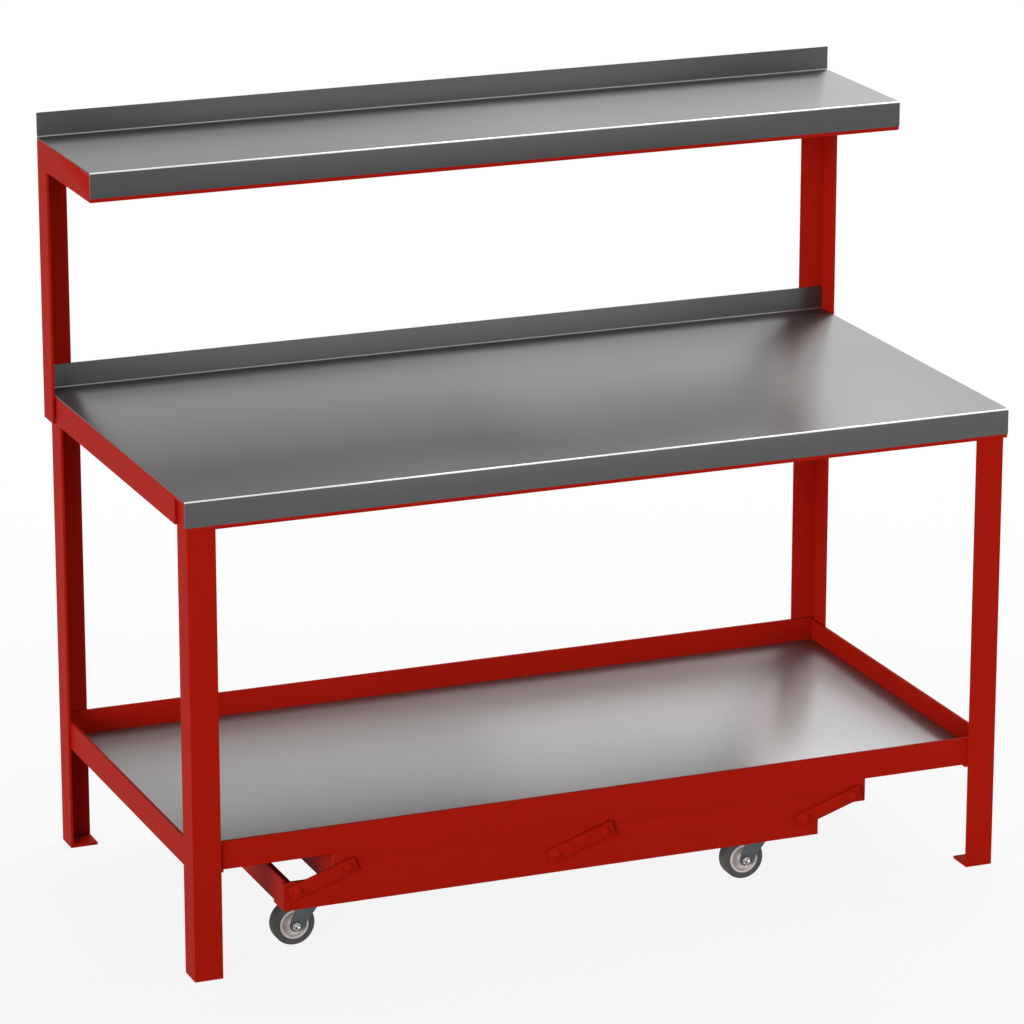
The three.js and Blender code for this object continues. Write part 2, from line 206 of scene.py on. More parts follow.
def painted_fold_highlight(tree, place, folds):
    """How strong the highlight painted along the folds is. A fold is the (y, z) of its line, and its brightness.
    """
    across = add_node(tree, "ShaderNodeVectorMath", {
        0: place, 1: (0, 1, 1)}, operation="MULTIPLY").outputs["Vector"]
    along = add_node(tree, "ShaderNodeMapping", {
        "Vector": place, "Scale": (1 / HIGHLIGHT_BREAK_LENGTH, 0, 0)}).outputs["Vector"]
    patches = noise(tree, along, 1, detail=3.0)
    painted_highlight = 0.0
    for line, bright in folds:
        distance = add_node(tree, "ShaderNodeVectorMath", {
            0: across, 1: (0, *line)}, operation="DISTANCE").outputs["Value"]
        near = add_node(tree, "ShaderNodeMapRange", {
            "Value": distance, "From Min": HIGHLIGHT_NEAR, "From Max": HIGHLIGHT_FAR,
            "To Min": 1.0, "To Max": 0.0}, interpolation_type="SMOOTHSTEP").outputs["Result"]
        fold_glint = add_node(tree, "ShaderNodeMath", {
            0: near, 1: ranged(tree, patches, HIGHLIGHT_LEAST * bright, bright)},
            operation="MULTIPLY").outputs["Value"]
        painted_highlight = add_node(tree, "ShaderNodeMath", {0: painted_highlight, 1: fold_glint},
                          operation="MAXIMUM").outputs["Value"]
    return painted_highlight


def brushed_sheet(name, dark, light, rough_low, rough_high, folds=()):
    """Bare sheet brushed along X, with a highlight painted along its folds."""
    material, tree, shader = new_finish(
        name, Metallic=METAL_SHARE, Anisotropic=0.75, Anisotropic_Rotation=0.25)
    along_bench = add_node(tree, "ShaderNodeCombineXYZ", {"X": 1.0}).outputs["Vector"]
    place = object_place(tree)
    stretched = add_node(tree, "ShaderNodeMapping", {
        "Vector": place, "Scale": (1 / LINE_LENGTH, 1 / LINE_WIDTH, 1 / LINE_WIDTH)})
    lines = noise(tree, stretched.outputs["Vector"], 1, detail=3.0)
    cloud = noise(tree, place, CLOUD_SIZE, detail=3.0)
    tint = mixed_colour(tree, lines, dark, light)
    rough = add_node(tree, "ShaderNodeMath", {
        0: cloud, 1: CLOUD_ROUGHNESS, 2: ranged(tree, lines, rough_low, rough_high)},
        operation="MULTIPLY_ADD").outputs["Value"]
    # A highlight is painted along the folds: a lighter colour, lower roughness and more metal there.
    if folds:
        painted_highlight = painted_fold_highlight(tree, place, folds)
        tint = mixed_colour(tree, painted_highlight, tint, HIGHLIGHT_COLOUR)
        rough = add_node(tree, "ShaderNodeMix", {
            0: painted_highlight, 2: rough, 3: HIGHLIGHT_ROUGHNESS}, data_type="FLOAT").outputs[0]
        feed(tree, shader, Metallic=ranged(tree, painted_highlight, METAL_SHARE, 1.0))
    feed(tree, shader, Base_Color=tint, Roughness=rough, Tangent=along_bench)
    return material


mill_steel = brushed_sheet("mill_steel_sheet", "#7E7C7C", "#848282", 0.28, 0.32)
print("made", mill_steel.name)

# %% [markdown]
# ## Zinc plated steel
# The casters' top plates, axle bolts and nuts are bright zinc plate. Zinc comes out of the
# bath slightly uneven, so a small cloudy noise moves both its tone and its roughness.

# %% Zinc plated steel
SPANGLE_SIZE = 4 * MM

zinc_plate, tree, shader = new_finish("zinc_plated_steel", Metallic=1.0)
spangle = noise(tree, object_place(tree), SPANGLE_SIZE)
feed(tree, shader,
     Base_Color=mixed_colour(tree, spangle, "#A8A4A2", "#BDBAB8"),
     Roughness=ranged(tree, spangle, 0.24, 0.36))
print("made", zinc_plate.name)

# %% [markdown]
# ## Slate passivated steel
# The caster forks are pressed from sheet and passivated to a slate blue-grey, which is dull
# beside the zinc. The press leaves the surface slightly grained, and a fine noise stands for it.

# %% Slate passivated steel
GRAIN_SIZE = 2 * MM  # pressed grain is near 0.3 mm, drawn coarser so that it can show

slate_steel, tree, shader = new_finish("slate_passivated_steel", Metallic=0.3)
grain = noise(tree, object_place(tree), GRAIN_SIZE, detail=3.0)
feed(tree, shader,
     Base_Color=mixed_colour(tree, grain, "#474E51", "#4F565A"),
     Roughness=ranged(tree, grain, 0.42, 0.54))
print("made", slate_steel.name)

# %% [markdown]
# ## Grey polypropylene
# The wheels' hubs are moulded in warm grey polypropylene. It is a soft waxy plastic with a
# satin skin, and the mould's spark-eroded walls give it a fine even grain.

# %% Grey polypropylene
MOULD_GRAIN = 1.5 * MM  # the real grain is under 0.2 mm, drawn coarser so that it can show
MOULD_DEPTH = 0.04 * MM

polypropylene, tree, shader = new_finish(
    "grey_polypropylene", Metallic=0.0, IOR=1.49, Roughness=0.42)
mould = noise(tree, object_place(tree), MOULD_GRAIN)
feed(tree, shader,
     Base_Color=mixed_colour(tree, mould, "#CFC7C6", "#D6CFCE"),
     Normal=bumped(tree, mould, 0.2, MOULD_DEPTH))
print("made", polypropylene.name)

# %% [markdown]
# ## Grey rubber
# The tyres are a non-marking dark grey rubber. Rubber is dull, it bleaches a little in
# patches, and its skin is finely pitted, which the bump carries.

# %% Grey rubber
PIT_SIZE = 1.2 * MM  # pits are near 0.3 mm, drawn coarser so that they can show
PIT_DEPTH = 0.06 * MM
BLEACH_SIZE = 18 * MM

rubber, tree, shader = new_finish(
    "grey_rubber", Metallic=0.0, IOR=1.52, Specular_IOR_Level=0.3, Roughness=0.68)
place = object_place(tree)
bleach = noise(tree, place, BLEACH_SIZE)
pits = noise(tree, place, PIT_SIZE)
feed(tree, shader,
     Base_Color=mixed_colour(tree, bleach, "#484645", "#525150"),
     Normal=bumped(tree, pits, 0.3, PIT_DEPTH))
print("made", rubber.name)

# %% [markdown]
# ## Helpers for pieces
# Each new piece stands for one solid of the frame, so it takes that solid's place and its moving body, and gets
# its own finish. Bars, swept skins and turned shapes come up again and again, and so does the easing of sharp
# edges, because no real edge is perfectly sharp.

# %% Piece helpers
body_of = {node: body for body, nodes in frame["record"]["behaviour"]["bodies"].items()
           for node in nodes}
PLACES = ("front_left", "front_right", "rear_left", "rear_right")
SMOOTH_UNDER = math.radians(25)
SAME_POINT = 0.001 * MM


def place_piece(bm, node, finish):
    """Makes an object of a finished bmesh. It stands for its node and moves as the node does."""
    mesh = bpy.data.meshes.new("finished_" + node)
    bm.to_mesh(mesh)
    bm.free()
    mesh.materials.append(finish)
    mesh.shade_smooth()
    mesh.set_sharp_from_angle(angle=SMOOTH_UNDER)
    piece = bpy.data.objects.new("finished_" + node, mesh)
    bpy.context.scene.collection.objects.link(piece)
    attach(piece, body_of[node])
    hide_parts(node)
    return piece


def edges_at(verts):
    """The edges at these verts, each of them once and always in the same order."""
    return list(dict.fromkeys(edge for vert in verts for edge in vert.link_edges))


def ease(bm, verts, radius, segments=2, over=30):
    """Rounds the edges at these verts that are sharper than an angle in degrees."""
    sharp = [edge for edge in edges_at(verts) if edge.calc_face_angle(0) > math.radians(over)]
    bmesh.ops.bevel(bm, geom=sharp, offset=radius, offset_type="OFFSET", profile=0.5,
                    segments=segments, affect="EDGES", material=-1, clamp_overlap=True)


def add_bar(bm, sides, radius, start, end):
    """A round or six-sided bar between two points. Returns its verts."""
    start, end = Vector(start), Vector(end)
    turn = (end - start).to_track_quat("Z", "Y").to_matrix().to_4x4()
    made = bmesh.ops.create_cone(
        bm, cap_ends=True, segments=sides, radius1=radius, radius2=radius,
        depth=(end - start).length, matrix=Matrix.Translation((start + end) / 2) @ turn)
    return made["verts"]


def add_box(bm, low, high):
    """A box between two corners. Returns its verts."""
    low, high = Vector(low), Vector(high)
    where = Matrix.Translation((low + high) / 2) @ Matrix.Diagonal((high - low).to_4d())
    return bmesh.ops.create_cube(bm, size=1, matrix=where)["verts"]


def pull_edges(bm, edges, move):
    """Draws open edges out by a move, which leaves new faces behind. Returns the new verts."""
    made = bmesh.ops.extrude_edge_only(bm, edges=edges)["geom"]
    moved = [part for part in made if isinstance(part, bmesh.types.BMVert)]
    bmesh.ops.translate(bm, vec=move, verts=moved)
    return moved


def add_swept(bm, outline, start, end):
    """An open skin: an outline of (y, z) points swept along X. Its flat top faces up."""
    points = [bm.verts.new((start, y, z)) for y, z in outline]
    run = [bm.edges.new(pair) for pair in zip(points, points[1:])]
    pull_edges(bm, run, (end - start, 0, 0))
    bmesh.ops.recalc_face_normals(bm, faces=bm.faces)
    if max(bm.faces, key=lambda face: abs(face.normal.z)).normal.z < 0:
        bmesh.ops.reverse_faces(bm, faces=bm.faces)


def add_turned(bm, centre, axis, profile, steps=64):
    """Spins points of (radius, distance along the axis) once round. Returns the new verts."""
    before = set(bm.verts)
    axis = Vector(axis)
    side = Vector((1, 0, 0))
    points = [bm.verts.new(Vector(centre) + side * radius + axis * along)
              for radius, along in profile]
    loop = points if profile[0][0] == 0 else points + points[:1]
    run = [bm.edges.new(pair) for pair in zip(loop, loop[1:])]
    bmesh.ops.spin(bm, geom=points + run, cent=centre, axis=axis, angle=2 * math.pi,
                   steps=steps, use_merge=True)
    made = [vert for vert in bm.verts if vert not in before]
    bmesh.ops.remove_doubles(bm, verts=made, dist=SAME_POINT)
    made = [vert for vert in bm.verts if vert not in before]
    faces = list(dict.fromkeys(face for vert in made for face in vert.link_faces))
    bmesh.ops.recalc_face_normals(bm, faces=faces)
    return made


print(len(body_of), "solids to finish")

# %% [markdown]
# ## Steel angle
# The frame is cut from angle bar and welded. The saw and the grinder leave its edges slightly
# broken, and paint rounds them further. The solids already have the right shape, so a copy of
# each is merged into one skin, its flat faces are joined up, and its edges are eased. Bars that
# meet in one plane get the smaller easing, which keeps their joint as fine as a filled weld.
# The lifting frame runs half a millimetre under the skirts, and the skirts' lower edge is
# drawn down over most of that gap, because no line shows there.

# %% Steel angle
EDGE_RADIUS = 0.6 * MM
FLUSH_RADIUS = 0.15 * MM
RUNNING_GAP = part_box("skirt_front")[0].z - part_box("lift_rail_front")[1].z
GAP_CLOSED = 0.9  # how much of the running gap the skirts' lower edge is drawn over
FLUSH = ("tray_rail", "skirt", "lift_rail", "lift_cross", "cross_member")
ANGLES = ("leg", "foot", "worktop_rail", "riser", "shelf_rail") + FLUSH

angles = [node for node in frame["nodes"] if node.startswith(ANGLES)]
for node in angles:
    bm = bmesh.new()
    bm.from_mesh(frame["nodes"][node].data)
    bmesh.ops.remove_doubles(bm, verts=bm.verts, dist=SAME_POINT)
    bmesh.ops.dissolve_limit(bm, angle_limit=math.radians(1), verts=bm.verts, edges=bm.edges)
    if node.startswith("skirt"):
        foot = [vert for vert in bm.verts if vert.co.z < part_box(node)[0].z + MM]
        bmesh.ops.translate(bm, vec=(0, 0, -GAP_CLOSED * RUNNING_GAP), verts=foot)
    ease(bm, bm.verts, FLUSH_RADIUS if node.startswith(FLUSH) else EDGE_RADIUS, over=40)
    place_piece(bm, node, powder_coat)
print("eased", len(angles), "bars and plates")

# %% [markdown]
# ## Folded sheets
# The worktop and the upper shelf are each one sheet, folded down over the front rail and up at the rear. A folded
# sheet is easiest as a skin: its outline seen from the side is swept along the bench, the two folds are rounded,
# and the skin then gets its thickness inwards. The round of the front fold catches the lamp as a fine bright line,
# and the highlight painted along it in the sheet's finish makes that line brighter.

# %% Folded sheets
FOLD_RADIUS = 2.4 * MM
FOLD_STEPS = 8
SHEET_EDGE = 0.3 * MM

# The shelf's sheet is the same steel as the worktop's, and its darker tones are painted shade.
for sheet, rail, dark, light in (
        ("worktop_sheet", "worktop_rail_front", "#4F4F4F", "#545454"),
        ("shelf_sheet", "shelf_rail_front", "#484848", "#4C4C4C")):
    low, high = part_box(sheet)
    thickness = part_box(rail)[0].y - low.y
    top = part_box(rail)[1].z + thickness
    # Each fold gets a painted highlight: full on the front fold, about a third as strong on the rear one.
    satin_steel = brushed_sheet("satin_steel_" + sheet, dark, light, 0.3, 0.34, folds=(
        ((low.y, top), 1.0), ((high.y - thickness, top), 0.35)))
    outline = [(low.y, low.z), (low.y, top), (high.y - thickness, top),
               (high.y - thickness, high.z)]
    bm = bmesh.new()
    add_swept(bm, outline, low.x, high.x)
    ease(bm, bm.verts, FOLD_RADIUS, FOLD_STEPS)
    piece = place_piece(bm, sheet, satin_steel)
    wall = piece.modifiers.new("thickness", "SOLIDIFY")
    wall.thickness = thickness
    wall.offset = -1
    wall.use_even_offset = True
    edge = piece.modifiers.new("edges", "BEVEL")
    edge.width = SHEET_EDGE
    edge.segments = 2
    edge.limit_method = "ANGLE"
    edge.angle_limit = math.radians(40)
    print(sheet, "is", round(thickness / MM, 2), "mm thick")

# %% [markdown]
# ## Tray sheet
# The tray's floor is a plain sheet laid inside the four rails. Its edges are eased a little,
# so that a fine shadow line parts it from the paint.

# %% Tray sheet
bm = bmesh.new()
ease(bm, add_box(bm, *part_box("tray_sheet")), SHEET_EDGE)
place_piece(bm, "tray_sheet", mill_steel)
print("tray sheet laid")

# %% [markdown]
# ## Links
# Six flat links carry the lifting frame. Each is a bar with a stud at either end: outside, a
# low round head, and behind the angle a washer, a nut and the stud's tip. The head is a profile
# spun about the stud, and the bar is a box turned to the line between its two pivots. Studs,
# nuts and bar were painted together, so all of it is one red piece.

# %% Links
LINK_WIDTH = 25 * MM
LINK_OVERHANG = 15 * MM
LINK_WALL = 5 * MM
LINK_GAP = 0.3 * MM
HEAD_RADIUS = 8 * MM
HEAD_HEIGHT = 4 * MM
STUD_RADIUS = 6 * MM
NUT_RADIUS = 10 * MM
NUT_HEIGHT = 5 * MM
WASHER_HEIGHT = 1 * MM
WASHER_EDGE = 0.2 * MM
STUD_TIP = 2 * MM
STUD_CLEARANCE = 0.15 * MM
ANGLE_WALL = 5 * MM

joints = {joint["name"]: joint for joint in frame["joints"]}
reach = Vector(joints["lift_level"]["pos_m"]) - Vector(joints["lift_swing"]["pos_m"])
head_profile = [(0, HEAD_HEIGHT), (3.4 * MM, 3.75 * MM), (5.8 * MM, 2.9 * MM),
                (7.4 * MM, 1.5 * MM), (HEAD_RADIUS, 0.4 * MM), (HEAD_RADIUS, -1 * MM), (0, -1 * MM)]
pivots = {joint["child"]: Vector(joint["pos_m"]) for joint in frame["joints"]
          if joint["child"].startswith("link")}


def link(node, upper, out):
    """One link with its studs. Out is the way out of the bench along Y, as 1 or -1."""
    bm = bmesh.new()
    half = reach.length / 2 + LINK_OVERHANG
    bar = add_box(bm, (-half, LINK_GAP, -LINK_WIDTH / 2),
                  (half, LINK_GAP + LINK_WALL, LINK_WIDTH / 2))
    ease(bm, bar, EDGE_RADIUS)
    lie = Matrix.Rotation(-math.atan2(reach.z, reach.x), 4, "Y")
    bmesh.ops.transform(bm, matrix=Matrix.Translation(reach / 2) @ lie, verts=bm.verts)
    face = LINK_GAP + LINK_WALL
    back = -ANGLE_WALL - LINK_GAP
    for pivot in (Vector(), reach):
        at = [pivot + Vector((0, along, 0)) for along in (
            face, back, back - WASHER_HEIGHT, back - WASHER_HEIGHT - NUT_HEIGHT,
            back - WASHER_HEIGHT - NUT_HEIGHT - STUD_TIP)]
        add_turned(bm, at[0], (0, 1, 0), head_profile, 32)
        add_bar(bm, 24, STUD_RADIUS - STUD_CLEARANCE, at[0], at[4])
        ease(bm, add_bar(bm, 32, NUT_RADIUS, at[1], at[2]), WASHER_EDGE)
        ease(bm, add_bar(bm, 6, NUT_RADIUS, at[2], at[3]), EDGE_RADIUS)
    bmesh.ops.transform(bm, matrix=Matrix.Translation(upper) @ Matrix.Diagonal((1, out, 1, 1)),
                        verts=bm.verts)
    bmesh.ops.recalc_face_normals(bm, faces=bm.faces)
    place_piece(bm, node, powder_coat)


for node, upper in pivots.items():
    link(node, upper, -1 if "front" in node else 1)
print("made", len(pivots), "links")

# %% [markdown]
# ## Tyres
# A caster's wheel is a moulded hub with a rubber tyre pressed on it. The tyre is a turned shape,
# so its profile is spun about the axle. Its shoulders are rounded after the spin, because its
# rings are then whole edges that one bevel takes together.

# %% Tyres
SHOULDER = 3 * MM

for name in PLACES:
    low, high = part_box("caster_tyre_" + name)
    hub_low, hub_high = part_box("caster_hub_" + name)
    centre = (low + high) / 2
    radius, half = (high.z - low.z) / 2, (high.y - low.y) / 2
    seat = (hub_high.z - hub_low.z) / 2
    bm = bmesh.new()
    made = add_turned(bm, centre, (0, 1, 0), [
        (seat, -half), (radius, -half), (radius, half), (seat, half)])
    shoulder = [v for v in made if (v.co - centre).xz.length > (seat + radius) / 2]
    ease(bm, shoulder, SHOULDER, 6)
    place_piece(bm, "caster_tyre_" + name, rubber)
print("tyres", round(2 * radius / MM), "mm across")

# %% [markdown]
# ## Hubs
# A hub has a rim that the tyre sits on, a narrower web, and a boss round the axle. It is turned
# too, and both faces are alike, so one face's profile is written down and mirrored for the other.
# A mould can't leave a sharp edge, so all of its edges are rounded.

# %% Hubs
RIM = 3.75 * MM
RIM_INSET = 0.6 * MM
WEB_EDGE = 6 * MM
WEB_MIDDLE = 4.5 * MM
BOSS_RADIUS = 8.5 * MM
BORE = 4.15 * MM
MOULD_RADIUS = 0.7 * MM

for name in PLACES:
    low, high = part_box("caster_hub_" + name)
    centre = (low + high) / 2
    radius, boss = (high.z - low.z) / 2, (high.y - low.y) / 2
    rim = boss - RIM_INSET
    face = [(radius, rim), (radius - RIM, rim), (radius - RIM, WEB_EDGE),
            (BOSS_RADIUS, WEB_MIDDLE), (BOSS_RADIUS, boss), (BORE, boss)]
    bm = bmesh.new()
    made = add_turned(bm, centre, (0, 1, 0), [(r, -y) for r, y in reversed(face)] + face)
    ease(bm, made, MOULD_RADIUS, 3, over=40)
    place_piece(bm, "caster_hub_" + name, polypropylene)
print("hubs", round(2 * radius / MM, 1), "mm across")

# %% [markdown]
# ## Axle bolts
# Each wheel runs on a bolt through the fork, with its head inside and a nut outside. The nut's
# hole is chamfered and the bolt's tip stays back in it, so the hole reads dark in its bright
# ring. The nut starts from a six-sided rim and a round one that are bridged. Both are drawn
# back, the round one in two steps, and bridged again at the foot, so that the nut is closed.

# %% Axle bolts
AXLE_RADIUS = 4 * MM
HEX_RADIUS = 7.5 * MM
HEX_EDGE = 0.5 * MM
HOLE_CHAMFER = 1 * MM
TIP_RECESS = 3 * MM
TIP_EDGE = 0.8 * MM
FORK_HALF = 17.5 * MM  # from the axle's middle to the outside of a cheek


def draw_back(bm, rim, depth):
    """Draws the open edges between a rim's verts back along Y. Returns the new verts."""
    edges = [edge for edge in bm.edges if edge.is_boundary and all(v in rim for v in edge.verts)]
    return pull_edges(bm, edges, (0, depth, 0))


def add_nut(bm, foot, height, out):
    """A hexagonal nut round the axle, with a chamfered hole. Out is its free side, along Y."""
    flat = Matrix.Translation(foot + Vector((0, out * height, 0))) @ Matrix.Rotation(
        math.pi / 2, 4, "X")
    outer = bmesh.ops.create_circle(bm, segments=6, radius=HEX_RADIUS, matrix=flat)["verts"]
    inner = bmesh.ops.create_circle(
        bm, segments=24, radius=AXLE_RADIUS + HOLE_CHAMFER, matrix=flat)["verts"]
    bmesh.ops.bridge_loops(bm, edges=edges_at(outer + inner))
    body = draw_back(bm, outer, -out * height)
    throat = draw_back(bm, inner, -out * HOLE_CHAMFER)
    shrink = AXLE_RADIUS / (AXLE_RADIUS + HOLE_CHAMFER)
    bmesh.ops.scale(bm, vec=(shrink, 1, shrink), verts=throat, space=Matrix.Translation(-foot))
    hole = draw_back(bm, throat, -out * (height - HOLE_CHAMFER))
    rims = [edge for edge in edges_at(body + hole) if edge.is_boundary]
    bmesh.ops.bridge_loops(bm, edges=rims)


for name in PLACES:
    low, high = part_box("caster_axle_" + name)
    out = -1 if "front" in name else 1
    axle = Vector(joints["roll_" + name]["pos_m"])
    cheek = Vector((0, out * FORK_HALF, 0))
    tip = (high.y if out > 0 else low.y) - axle.y
    head = (low.y if out > 0 else high.y) - axle.y
    bm = bmesh.new()
    shaft = add_bar(bm, 32, AXLE_RADIUS, axle + Vector((0, head / 2, 0)),
                    axle + Vector((0, tip - out * TIP_RECESS, 0)))
    ease(bm, shaft, TIP_EDGE)
    ease(bm, add_bar(bm, 6, HEX_RADIUS, axle - cheek, axle + Vector((0, head, 0))), HEX_EDGE)
    add_nut(bm, axle + cheek, abs(tip) - FORK_HALF, out)
    bmesh.ops.recalc_face_normals(bm, faces=bm.faces)
    place_piece(bm, "caster_axle_" + name, zinc_plate)
print("axle bolts made")

# %% [markdown]
# ## Caster forks
# A fork is pressed from one strip: a flat crown, two bends, and two cheeks that taper back to
# the axle. As a skin it is a channel, swept and bent like the worktop. Flat cuts then trim its
# cheeks, and the skin gets its thickness. The lower race of the swivel is turned on top.

# %% Caster forks
FORK_WALL = 2.5 * MM
FORK_EDGE = 0.4 * MM
FORK_BEND = 3.5 * MM
CROWN_LEAD = 25.5 * MM
CROWN_TRAIL = 20.5 * MM
FOOT_LOW = 12 * MM
FOOT_BACK = 9.5 * MM
FOOT_AHEAD = 12 * MM
FOOT_ROUND = 4 * MM
RACE_RADIUS = 23 * MM
RACE_HEIGHT = 3 * MM
RACE_CHAMFER = 1 * MM
SUNK = 1 * MM  # how far a turned part reaches into the sheet that carries it
PIN_RADIUS = 6 * MM


def fork(name):
    """A fork about its swivel, trailing the way its axle does."""
    swivel = Vector(joints["swivel_" + name]["pos_m"])
    axle = Vector(joints["roll_" + name]["pos_m"])
    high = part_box("caster_fork_" + name)[1]
    crown = high.z - RACE_HEIGHT
    foot = axle.z - FOOT_LOW
    bm = bmesh.new()
    left, right = swivel.y - FORK_HALF, swivel.y + FORK_HALF
    add_swept(bm, [(left, foot), (left, crown), (right, crown), (right, foot)],
              axle.x - CROWN_LEAD, swivel.x + CROWN_LEAD)
    ease(bm, bm.verts, FORK_BEND, 6)
    turns = (0, math.pi / 6, math.pi / 3)
    heel = [axle.x - FOOT_BACK * math.cos(turn) for turn in turns]
    heel_z = [axle.z - FOOT_LOW * math.sin(turn) for turn in turns]
    edge = [(swivel.x - CROWN_TRAIL, crown)] + list(zip(heel, heel_z)) + [
        (axle.x, foot), (axle.x + FOOT_AHEAD - FOOT_ROUND, foot),
        (axle.x + FOOT_AHEAD, foot + FOOT_ROUND), (swivel.x + CROWN_LEAD, crown)]
    for (x, z), (next_x, next_z) in zip(edge, edge[1:]):
        away = Vector((next_z - z, 0, x - next_x))
        bmesh.ops.bisect_plane(bm, geom=bm.verts[:] + bm.edges[:] + bm.faces[:],
                               plane_co=(x, 0, z), plane_no=away, clear_outer=True)
    bmesh.ops.solidify(bm, geom=bm.faces[:], thickness=FORK_WALL)
    ease(bm, bm.verts, FORK_EDGE, over=40)
    add_turned(bm, (swivel.x, swivel.y, crown), (0, 0, 1), [
        (PIN_RADIUS, RACE_HEIGHT), (RACE_RADIUS - RACE_CHAMFER, RACE_HEIGHT),
        (RACE_RADIUS, RACE_HEIGHT - RACE_CHAMFER), (RACE_RADIUS, -SUNK), (PIN_RADIUS, -SUNK)], 48)
    bmesh.ops.recalc_face_normals(bm, faces=bm.faces)
    place_piece(bm, "caster_fork_" + name, slate_steel)


for name in PLACES:
    fork(name)
print("forks bent")

# %% [markdown]
# ## Caster top plates
# The plate that screws to the lifting frame has round corners, a hexagon head near each, and
# the fixed race under it, with the king pin through the middle. The plate is a box with cut
# corners, screws and pin are bars, and the race is turned about the swivel.

# %% Caster top plates
PLATE_WALL = 3 * MM
PLATE_CORNER = 6 * MM
PLATE_EDGE = 0.3 * MM
SCREW_INSET = 9 * MM
SCREW_RADIUS = 5.5 * MM
SCREW_HEIGHT = 4 * MM
FIXED_RACE_HEIGHT = 3.5 * MM
PIN_HEAD_RADIUS = 9 * MM
PIN_HEAD_HEIGHT = 3.5 * MM
PIN_HEAD_EDGE = 0.8 * MM
PIN_CLEARANCE = 0.1 * MM

for name in PLACES:
    low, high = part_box("caster_plate_" + name)
    bm = bmesh.new()
    add_box(bm, (low.x, low.y, high.z - PLATE_WALL), high)
    upright = [edge for edge in bm.edges if abs(edge.verts[0].co.z - edge.verts[1].co.z) > MM]
    bmesh.ops.bevel(bm, geom=upright, offset=PLATE_CORNER, offset_type="OFFSET", profile=0.5,
                    segments=6, affect="EDGES", material=-1)
    ease(bm, bm.verts, PLATE_EDGE, over=60)
    for x in (low.x + SCREW_INSET, high.x - SCREW_INSET):
        for y in (low.y + SCREW_INSET, high.y - SCREW_INSET):
            under = Vector((x, y, high.z - PLATE_WALL))
            head = add_bar(bm, 6, SCREW_RADIUS, under, under - Vector((0, 0, SCREW_HEIGHT)))
            ease(bm, head, HEX_EDGE)
    middle = Vector(((low.x + high.x) / 2, (low.y + high.y) / 2, high.z - PLATE_WALL))
    add_turned(bm, middle, (0, 0, 1), [
        (0, SUNK), (RACE_RADIUS, SUNK), (RACE_RADIUS, RACE_CHAMFER - FIXED_RACE_HEIGHT),
        (RACE_RADIUS - RACE_CHAMFER, -FIXED_RACE_HEIGHT), (0, -FIXED_RACE_HEIGHT)], 48)
    pin_end = Vector((middle.x, middle.y, low.z))
    pin_head = pin_end + Vector((0, 0, PIN_HEAD_HEIGHT))
    ease(bm, add_bar(bm, 32, PIN_HEAD_RADIUS, pin_head, pin_end), PIN_HEAD_EDGE, 3)
    add_bar(bm, 32, PIN_RADIUS - PIN_CLEARANCE, (pin_head + pin_end) / 2, middle)
    bmesh.ops.recalc_face_normals(bm, faces=bm.faces)
    place_piece(bm, "caster_plate_" + name, zinc_plate)
print("top plates made")

# %% [markdown]
# ## The floor
# The floor is a large plain sheet. It keeps a faint shadow close to the bench, and turns to
# plain white further out, both in the picture and in what mirrors it. Only light that bounces
# about sees it as matt paper. It goes down with the lifting frame, so that the lowered wheels
# are seen whole and the bench is seen lifted.

# %% Floor
FLOOR_SIZE = 44.0
SHADOW_NEAR = 0.9
SHADOW_FAR = 2.6
NEAR_WHITE = 0.88  # how much of the plain white is mixed in close to the bench


def seen_as_white(tree):
    """1 for rays from the camera or off a shiny surface, and 0 for those that light a surface."""
    rays = add_node(tree, "ShaderNodeLightPath")
    seen = rays.outputs["Is Camera Ray"]
    for kind in ("Is Glossy Ray", "Is Transmission Ray"):
        seen = add_node(tree, "ShaderNodeMath", {0: seen, 1: rays.outputs[kind]},
                        operation="MAXIMUM").outputs["Value"]
    return seen


bm = bmesh.new()
bmesh.ops.create_grid(bm, x_segments=1, y_segments=1, size=FLOOR_SIZE / 2)
floor_mesh = bpy.data.meshes.new("studio_floor")
bm.to_mesh(floor_mesh)
bm.free()
floor = bpy.data.objects.new("studio_floor", floor_mesh)
bpy.context.scene.collection.objects.link(floor)
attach(floor, "lift_frame")

pale_floor = bpy.data.materials.new("pale_floor")
pale_floor.use_nodes = True
tree = pale_floor.node_tree
tree.nodes.clear()
away = add_node(tree, "ShaderNodeVectorMath", {0: object_place(tree)}, operation="LENGTH")
fade = add_node(tree, "ShaderNodeMapRange", {
    "Value": away.outputs["Value"], "From Min": SHADOW_NEAR, "From Max": SHADOW_FAR,
    "To Min": NEAR_WHITE, "To Max": 1.0}, interpolation_type="SMOOTHSTEP")
whiten = add_node(tree, "ShaderNodeMath", {
    0: seen_as_white(tree), 1: fade.outputs["Result"]}, operation="MULTIPLY")
matt = add_node(tree, "ShaderNodeBsdfDiffuse", {"Color": linear("#F0F0F0")})
glow = add_node(tree, "ShaderNodeEmission", {"Color": linear("#FFFFFF"), "Strength": 1.0})
mix = add_node(tree, "ShaderNodeMixShader", {
    0: whiten.outputs["Value"], 1: matt.outputs["BSDF"], 2: glow.outputs["Emission"]})
add_node(tree, "ShaderNodeOutputMaterial", {"Surface": mix.outputs["Shader"]})
floor.data.materials.append(pale_floor)
print("floor", FLOOR_SIZE, "m wide")

# %% [markdown]
# ## The surround
# Beyond the floor there is nothing but an even white. Like the floor, it is plain white in the
# picture and in reflections. As a light it is kept weak, because the lamps do the lighting.

# %% Surround
FILL_LIGHT = 0.08

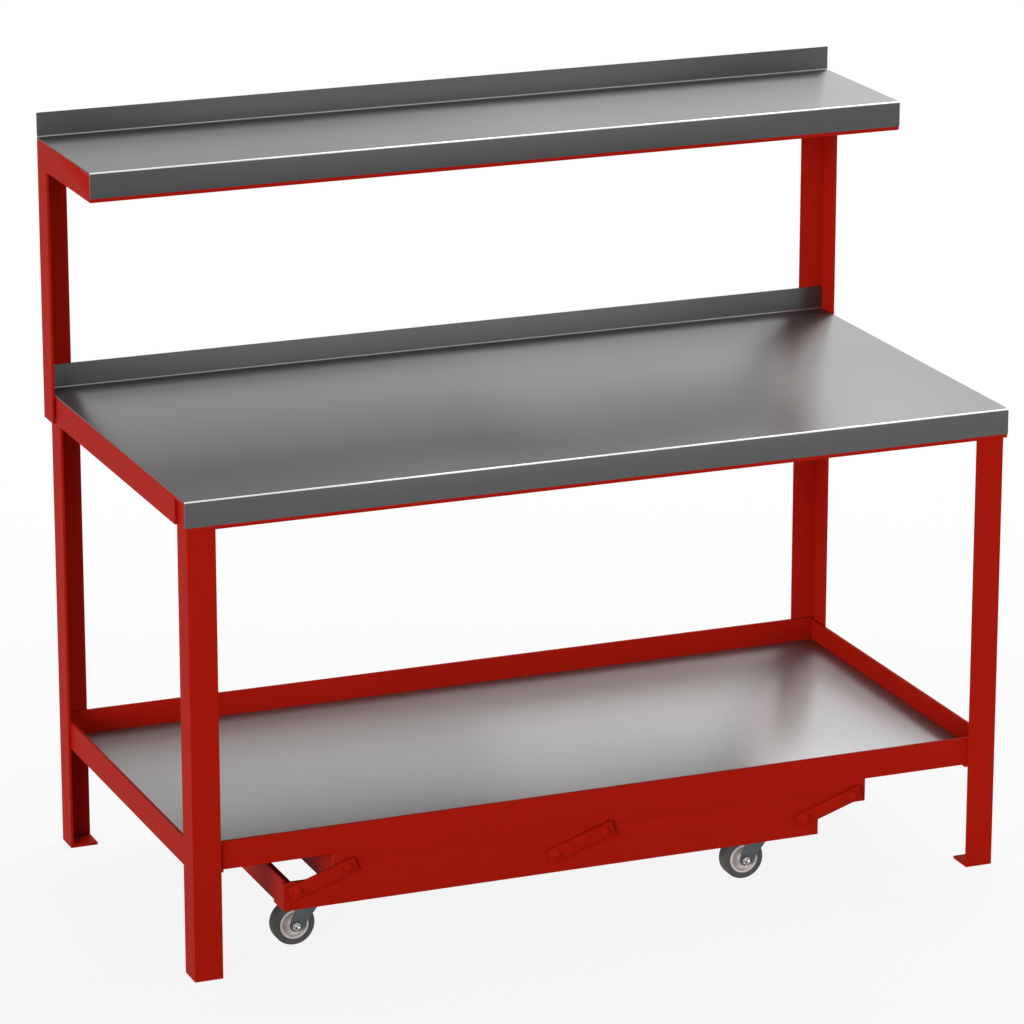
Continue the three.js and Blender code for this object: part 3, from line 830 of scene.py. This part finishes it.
world = bpy.data.worlds.new("surround")
bpy.context.scene.world = world
world.use_nodes = True
tree = world.node_tree
tree.nodes.clear()
fill = add_node(tree, "ShaderNodeBackground", {"Color": linear("#FFFFFF"), "Strength": FILL_LIGHT})
white = add_node(tree, "ShaderNodeBackground", {"Color": linear("#FFFFFF"), "Strength": 1.0})
mix = add_node(tree, "ShaderNodeMixShader", {
    0: seen_as_white(tree), 1: fill.outputs["Background"], 2: white.outputs["Background"]})
add_node(tree, "ShaderNodeOutputWorld", {"Surface": mix.outputs["Shader"]})
print("surround made")

# %% [markdown]
# ## The lamps
# A large key lamp stands at the left front and makes the left faces the brightest red. The front
# lamp fills the front faces. The lamps behind and over the bench are there for the sheets: each
# shows as a soft bright band in them, and together they make the steel grow lighter to the right.

# %% Lamps
MIDDLE = (0, 0, 0.6)


def soft_lamp(name, place, aim, wide, tall, brightness):
    """A lamp panel that faces its aim. White paper at full light has a brightness of 1."""
    data = bpy.data.lights.new(name, "AREA")
    data.shape = "RECTANGLE"
    data.size = wide
    data.size_y = tall
    data.energy = brightness * math.pi * wide * tall
    lamp = bpy.data.objects.new(name, data)
    lamp.location = place
    lamp.rotation_euler = (Vector(aim) - Vector(place)).to_track_quat("-Z", "Y").to_euler()
    bpy.context.scene.collection.objects.link(lamp)


soft_lamp("key", (-12.9, -7.8, 3.0), MIDDLE, 9.6, 5.4, 11.6)
soft_lamp("key_left", (-13.0, 0.5, 2.6), MIDDLE, 6, 4, 0.8)
soft_lamp("front", (2.6, -7.0, 1.7), MIDDLE, 6, 2, 2.5)
soft_lamp("side_right", (9.0, -3.0, 2.4), MIDDLE, 4, 3, 7.2)
soft_lamp("rear_low", (2.8, 4.6, 1.3), MIDDLE, 2.2, 1.0, 1.6)
soft_lamp("rear_left_low", (0.4, 4.6, 2.5), MIDDLE, 2.2, 1.0, 0.9)
soft_lamp("rear_left", (0.3, 3.2, 4.4), (-0.4, 0, 0.8), 2.4, 2.4, 2.4)
soft_lamp("rear_middle", (2.6, 3.2, 4.4), (0.6, 0, 0.8), 2.4, 2.4, 4.4)
soft_lamp("over_left", (1.2, 1.4, 5.4), (-0.4, -0.2, 0.8), 1.6, 1.6, 3.0)
soft_lamp("rear_right", (4.0, 3.0, 4.2), (1, 0, 0.8), 2.4, 2.4, 4.2)
print(len(bpy.data.lights), "lamps hung")

# %% [markdown]
# ## Colours as they are
# The Standard view shows colours without a film look, so the red stays the red that was mixed.

# %% View
bpy.context.scene.view_settings.view_transform = "Standard"
